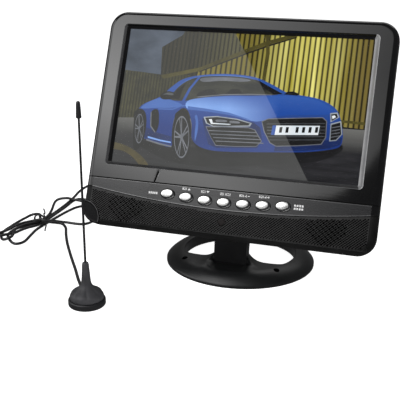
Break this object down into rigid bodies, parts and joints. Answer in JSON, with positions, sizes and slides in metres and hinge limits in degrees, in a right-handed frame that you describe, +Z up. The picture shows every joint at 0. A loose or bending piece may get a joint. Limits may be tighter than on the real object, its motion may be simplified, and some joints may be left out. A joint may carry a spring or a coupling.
{
  "type": "portable television",
  "caption": "Flat portable television on a tilting oval ring stand, with front push-buttons and a magnetic whip antenna on a coiled coax lead.",
  "frame": {"origin": "on the floor, midway between the two fixing holes of the stand, on the plane of the stand's underside", "axes": "+X to the viewer's right, +Y away from the viewer, +Z up; the screen faces -Y"},
  "size_m": [0.3754, 0.3084, 0.2221],
  "materials": {
    "shell_black": "satin black moulded plastic of the stand",
    "post_black": "satin black plastic",
    "rubber_black": "matte black rubber",
    "screw_steel": "plated steel",
    "pin_steel": "ground steel",
    "magnet": "sintered magnet",
    "whip_black": "black sleeved steel",
    "cable_black": "soft black cable sheath",
    "bezel_gloss": "glossy dark grey moulded plastic",
    "cover_matte": "fine textured black plastic",
    "strip_gloss": "dark grey plastic",
    "grille_black": "black plastic with a diamond lattice",
    "cap_gloss": "smooth black plastic",
    "window_red": "dark red infrared window",
    "lens_clear": "clear screen cover",
    "panel_dark": "liquid crystal panel",
    "frame_metal": "pressed sheet",
    "board_green": "circuit board with parts",
    "can_tin": "tinned steel can",
    "battery_blue": "heat-shrink wrap",
    "speaker_dark": "paper cone in a steel basket",
    "brass": "plated coaxial socket",
    "socket_black": "socket body",
    "button_silver": "silver painted plastic",
    "knob_black": "ribbed black plastic"
  },
  "bodies": {
    "stand": {"base_shell": "shell_black", "base_plate": "shell_black", "base_pads": "rubber_black", "base_screws": "screw_steel", "post": "post_black", "post_screws": "screw_steel", "hinge_pin": "pin_steel", "friction_washers": "pin_steel", "antenna_foot": "rubber_black", "antenna_magnet": "magnet", "antenna_skirt": "rubber_black", "antenna_whip": "whip_black", "antenna_tip": "rubber_black", "lead_tube": "cable_black", "lead_hank": "cable_black", "hank_tie": "cable_black"},
    "head": {"front_bezel": "bezel_gloss", "rear_cover": "cover_matte", "control_panel": "strip_gloss", "speaker_grille": "grille_black", "corner_cap": "cap_gloss", "ir_window": "window_red", "screen_lens": "lens_clear", "lcd_panel": "panel_dark", "lcd_frame": "frame_metal", "main_board": "board_green", "tuner_can": "can_tin", "inverter_board": "board_green", "battery_pack": "battery_blue", "key_board": "board_green", "speaker_left": "speaker_dark", "speaker_right": "speaker_dark", "antenna_jack": "brass", "dc_jack": "socket_black", "phone_jack": "socket_black", "av_jack": "brass", "switch_housing": "can_tin", "housing_screws": "screw_steel", "hinge_bracket": "post_black", "bracket_screws": "screw_steel", "antenna_plug": "rubber_black", "lead_tail": "cable_black"},
    "button_1_body": {"button_1": "button_silver"},
    "button_2_body": {"button_2": "button_silver"},
    "button_3_body": {"button_3": "button_silver"},
    "button_4_body": {"button_4": "button_silver"},
    "button_5_body": {"button_5": "button_silver"},
    "button_6_body": {"button_6": "button_silver"},
    "button_7_body": {"button_7": "button_silver"},
    "switch_body": {"power_switch": "knob_black"}
  },
  "joints": [
    {"name": "head_tilt", "type": "hinge", "parent": "stand", "child": "head", "pos_m": [0, 0, 0.035], "axis": [-1, 0, 0], "range_deg": [-25, 15], "deforming": ["lead_tail"]},
    {"name": "button_1_press", "type": "slide", "parent": "head", "child": "button_1_body", "axis": [0, 0.9063, -0.4226], "range_m": [0, 0.0012], "stiffness_N_per_m": 400, "springref_m": -0.0005},
    {"name": "button_2_press", "type": "slide", "parent": "head", "child": "button_2_body", "axis": [0, 0.9063, -0.4226], "range_m": [0, 0.0012], "stiffness_N_per_m": 400, "springref_m": -0.0005},
    {"name": "button_3_press", "type": "slide", "parent": "head", "child": "button_3_body", "axis": [0, 0.9063, -0.4226], "range_m": [0, 0.0012], "stiffness_N_per_m": 400, "springref_m": -0.0005},
    {"name": "button_4_press", "type": "slide", "parent": "head", "child": "button_4_body", "axis": [0, 0.9063, -0.4226], "range_m": [0, 0.0012], "stiffness_N_per_m": 400, "springref_m": -0.0005},
    {"name": "button_5_press", "type": "slide", "parent": "head", "child": "button_5_body", "axis": [0, 0.9063, -0.4226], "range_m": [0, 0.0012], "stiffness_N_per_m": 400, "springref_m": -0.0005},
    {"name": "button_6_press", "type": "slide", "parent": "head", "child": "button_6_body", "axis": [0, 0.9063, -0.4226], "range_m": [0, 0.0012], "stiffness_N_per_m": 400, "springref_m": -0.0005},
    {"name": "button_7_press", "type": "slide", "parent": "head", "child": "button_7_body", "axis": [0, 0.9063, -0.4226], "range_m": [0, 0.0012], "stiffness_N_per_m": 400, "springref_m": -0.0005},
    {"name": "power_switch_slide", "type": "slide", "parent": "head", "child": "switch_body", "axis": [0, 0.4226, 0.9063], "range_m": [0, 0.004]}
  ]
}
